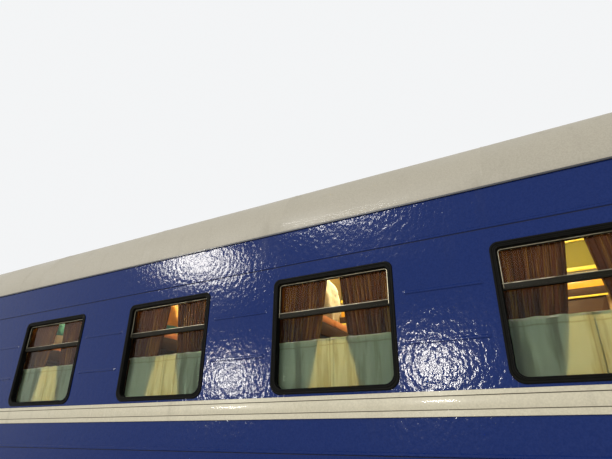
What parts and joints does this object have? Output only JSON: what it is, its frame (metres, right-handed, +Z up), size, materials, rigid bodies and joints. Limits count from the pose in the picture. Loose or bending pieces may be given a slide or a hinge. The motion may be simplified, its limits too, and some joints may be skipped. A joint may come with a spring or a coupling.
{
  "type": "compartment sleeping coach",
  "caption": "Sleeping coach with closed compartments, a side corridor, hinged doors at both ends and two swivelling bogies for broad gauge track.",
  "frame": {"origin": "middle of the coach on the surface that the wheel flanges stand on", "axes": "+X along the coach to its front end, +Y to the corridor side, +Z up"},
  "size_m": [24.67, 3.243, 4.4507],
  "materials": {
    "blue_paint": "glossy dark blue enamel",
    "roof_grey": "satin grey-cream paint",
    "gutter_dark": "satin dark paint",
    "cream_paint": "glossy cream enamel",
    "chassis_black": "matt black paint with dust",
    "bogie_grey": "matt dark grey paint with dust",
    "cast_black": "rough dark casting",
    "wheel_steel": "worn steel",
    "buffer_steel": "black paint, greased face",
    "rail_steel": "polished tube",
    "seal_rubber": "black rubber",
    "gangway_rubber": "black rubber",
    "frame_aluminium": "satin anodised",
    "window_glass": "clear",
    "floor_lino": "brown sheet flooring",
    "wall_laminate": "light wood laminate",
    "door_laminate": "wood laminate",
    "berth_brown": "brown laminate",
    "berth_fabric": "woven cover",
    "table_top": "laminate with an aluminium edge",
    "curtain_brown": "brown cloth with golden stripes",
    "curtain_white": "thin white cloth"
  },
  "bodies": {
    "coach": {"underframe": "chassis_black", "floor_beams": "chassis_black", "floor": "floor_lino", "compartment_side_wall": "blue_paint", "corridor_side_wall": "blue_paint", "front_end_wall": "blue_paint", "rear_end_wall": "blue_paint", "roof": "roof_grey", "rain_gutters": "gutter_dark", "waist_rails": "cream_paint", "roof_vents": "roof_grey", "window_seals": "seal_rubber", "window_frames": "frame_aluminium", "window_panes": "window_glass", "cross_walls": "wall_laminate", "vestibule_walls": "wall_laminate", "corridor_wall": "wall_laminate", "corridor_ceiling": "wall_laminate", "berths": "berth_brown", "mattresses": "berth_fabric", "curtain_rods": "frame_aluminium", "tables": "table_top", "curtains": "curtain_brown", "cafe_curtains": "curtain_white", "gangways": "gangway_rubber", "couplers": "cast_black", "buffers": "buffer_steel", "entrance_steps": "chassis_black", "grab_rails": "rail_steel", "underfloor_boxes": "chassis_black", "air_tanks": "chassis_black"},
    "front_bogie": {"front_bogie_frame": "bogie_grey", "front_bolster": "bogie_grey", "front_bogie_springs": "bogie_grey", "front_axle_boxes": "cast_black", "front_brake_gear": "cast_black"},
    "front_inner_wheels": {"front_inner_wheelset": "wheel_steel"},
    "front_outer_wheels": {"front_outer_wheelset": "wheel_steel"},
    "side_door_front_left": {"side_door_front_left": "blue_paint"},
    "side_door_front_right": {"side_door_front_right": "blue_paint"},
    "end_door_front": {"end_door_front": "blue_paint"},
    "rear_bogie": {"rear_bogie_frame": "bogie_grey", "rear_bolster": "bogie_grey", "rear_bogie_springs": "bogie_grey", "rear_axle_boxes": "cast_black", "rear_brake_gear": "cast_black"},
    "rear_inner_wheels": {"rear_inner_wheelset": "wheel_steel"},
    "rear_outer_wheels": {"rear_outer_wheelset": "wheel_steel"},
    "side_door_rear_left": {"side_door_rear_left": "blue_paint"},
    "side_door_rear_right": {"side_door_rear_right": "blue_paint"},
    "end_door_rear": {"end_door_rear": "blue_paint"},
    "compartment_door_1": {"compartment_door_1": "door_laminate"},
    "compartment_door_2": {"compartment_door_2": "door_laminate"},
    "compartment_door_3": {"compartment_door_3": "door_laminate"},
    "compartment_door_4": {"compartment_door_4": "door_laminate"},
    "compartment_door_5": {"compartment_door_5": "door_laminate"},
    "compartment_door_6": {"compartment_door_6": "door_laminate"},
    "compartment_door_7": {"compartment_door_7": "door_laminate"},
    "compartment_door_8": {"compartment_door_8": "door_laminate"},
    "compartment_door_9": {"compartment_door_9": "door_laminate"}
  },
  "joints": [
    {"name": "front_bogie_swivel", "type": "hinge", "parent": "coach", "child": "front_bogie", "pos_m": [8.5, 0, 0.858], "axis": [0, 0, 1], "range_deg": [-6, 6]},
    {"name": "front_inner_wheels_turn", "type": "hinge", "parent": "front_bogie", "child": "front_inner_wheels", "pos_m": [7.3, 0, 0.503], "axis": [0, 1, 0], "continuous": true},
    {"name": "front_outer_wheels_turn", "type": "hinge", "parent": "front_bogie", "child": "front_outer_wheels", "pos_m": [9.7, 0, 0.503], "axis": [0, 1, 0], "continuous": true},
    {"name": "side_door_front_left_hinge", "type": "hinge", "parent": "coach", "child": "side_door_front_left", "pos_m": [11.552, 1.4835, 1.328], "axis": [0, 0, 1], "range_deg": [0, 90]},
    {"name": "side_door_front_right_hinge", "type": "hinge", "parent": "coach", "child": "side_door_front_right", "pos_m": [11.552, -1.4835, 1.328], "axis": [0, 0, -1], "range_deg": [0, 90]},
    {"name": "end_door_front_hinge", "type": "hinge", "parent": "coach", "child": "end_door_front", "pos_m": [11.74, 0.362, 1.328], "axis": [0, 0, -1], "range_deg": [0, 90]},
    {"name": "rear_bogie_swivel", "type": "hinge", "parent": "coach", "child": "rear_bogie", "pos_m": [-8.5, 0, 0.858], "axis": [0, 0, 1], "range_deg": [-6, 6]},
    {"name": "rear_inner_wheels_turn", "type": "hinge", "parent": "rear_bogie", "child": "rear_inner_wheels", "pos_m": [-7.3, 0, 0.503], "axis": [0, 1, 0], "continuous": true},
    {"name": "rear_outer_wheels_turn", "type": "hinge", "parent": "rear_bogie", "child": "rear_outer_wheels", "pos_m": [-9.7, 0, 0.503], "axis": [0, 1, 0], "continuous": true},
    {"name": "side_door_rear_left_hinge", "type": "hinge", "parent": "coach", "child": "side_door_rear_left", "pos_m": [-11.552, 1.4835, 1.328], "axis": [0, 0, -1], "range_deg": [0, 90]},
    {"name": "side_door_rear_right_hinge", "type": "hinge", "parent": "coach", "child": "side_door_rear_right", "pos_m": [-11.552, -1.4835, 1.328], "axis": [0, 0, 1], "range_deg": [0, 90]},
    {"name": "end_door_rear_hinge", "type": "hinge", "parent": "coach", "child": "end_door_rear", "pos_m": [-11.74, 0.362, 1.328], "axis": [0, 0, 1], "range_deg": [0, 90]},
    {"name": "compartment_door_1_slide", "type": "slide", "parent": "coach", "child": "compartment_door_1", "axis": [1, 0, 0], "range_m": [0, 0.62]},
    {"name": "compartment_door_2_slide", "type": "slide", "parent": "coach", "child": "compartment_door_2", "axis": [1, 0, 0], "range_m": [0, 0.62]},
    {"name": "compartment_door_3_slide", "type": "slide", "parent": "coach", "child": "compartment_door_3", "axis": [1, 0, 0], "range_m": [0, 0.62]},
    {"name": "compartment_door_4_slide", "type": "slide", "parent": "coach", "child": "compartment_door_4", "axis": [1, 0, 0], "range_m": [0, 0.62]},
    {"name": "compartment_door_5_slide", "type": "slide", "parent": "coach", "child": "compartment_door_5", "axis": [1, 0, 0], "range_m": [0, 0.62]},
    {"name": "compartment_door_6_slide", "type": "slide", "parent": "coach", "child": "compartment_door_6", "axis": [1, 0, 0], "range_m": [0, 0.62]},
    {"name": "compartment_door_7_slide", "type": "slide", "parent": "coach", "child": "compartment_door_7", "axis": [1, 0, 0], "range_m": [0, 0.62]},
    {"name": "compartment_door_8_slide", "type": "slide", "parent": "coach", "child": "compartment_door_8", "axis": [1, 0, 0], "range_m": [0, 0.62]},
    {"name": "compartment_door_9_slide", "type": "slide", "parent": "coach", "child": "compartment_door_9", "axis": [1, 0, 0], "range_m": [0, 0.62]}
  ]
}
